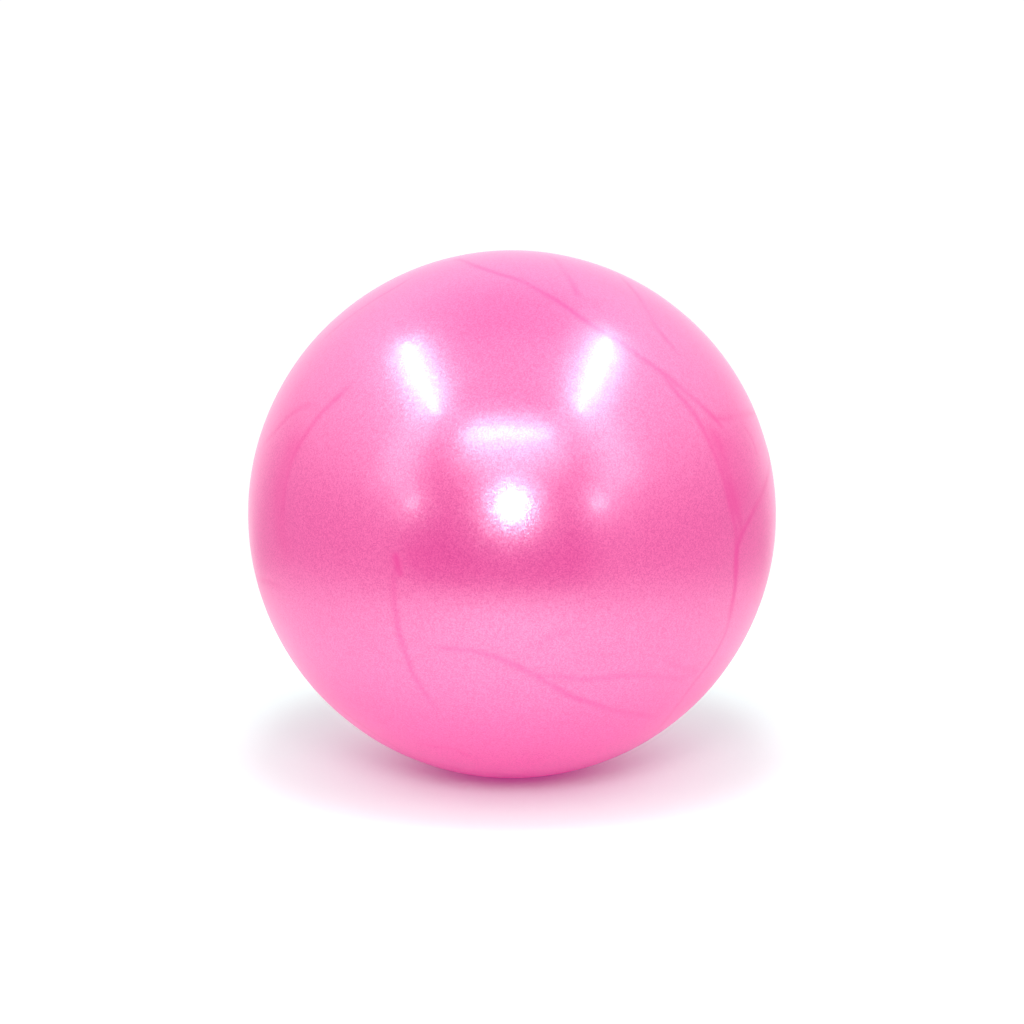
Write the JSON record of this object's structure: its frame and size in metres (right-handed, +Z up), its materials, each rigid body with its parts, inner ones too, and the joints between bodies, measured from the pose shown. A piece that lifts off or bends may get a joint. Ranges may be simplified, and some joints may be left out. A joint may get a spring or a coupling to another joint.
{
  "type": "exercise ball",
  "caption": "Small inflatable exercise ball: a thin pearlescent PVC sphere that rests on a flat patch, with a flanged air valve set in its rear and a push-in plug.",
  "frame": {"origin": "centre of the flat patch on which the ball rests", "axes": "+Z up through the ball's centre; +Y along the valve's axis, out of the ball; +X to the right for a viewer who looks along +Y at the side without the valve"},
  "size_m": [0.25, 0.2507, 0.2492],
  "materials": {
    "skin": "pearlescent satin, fine frosted grain",
    "seat": "milky, slightly translucent",
    "plug": "smooth moulded white"
  },
  "bodies": {
    "ball": {"ball_skin": "skin", "valve_seat": "seat"},
    "plug": {"valve_plug": "plug"}
  },
  "joints": [
    {"name": "plug_slide", "type": "slide", "parent": "ball", "child": "plug", "axis": [0, 1, 0], "range_m": [0, 0.035]}
  ]
}
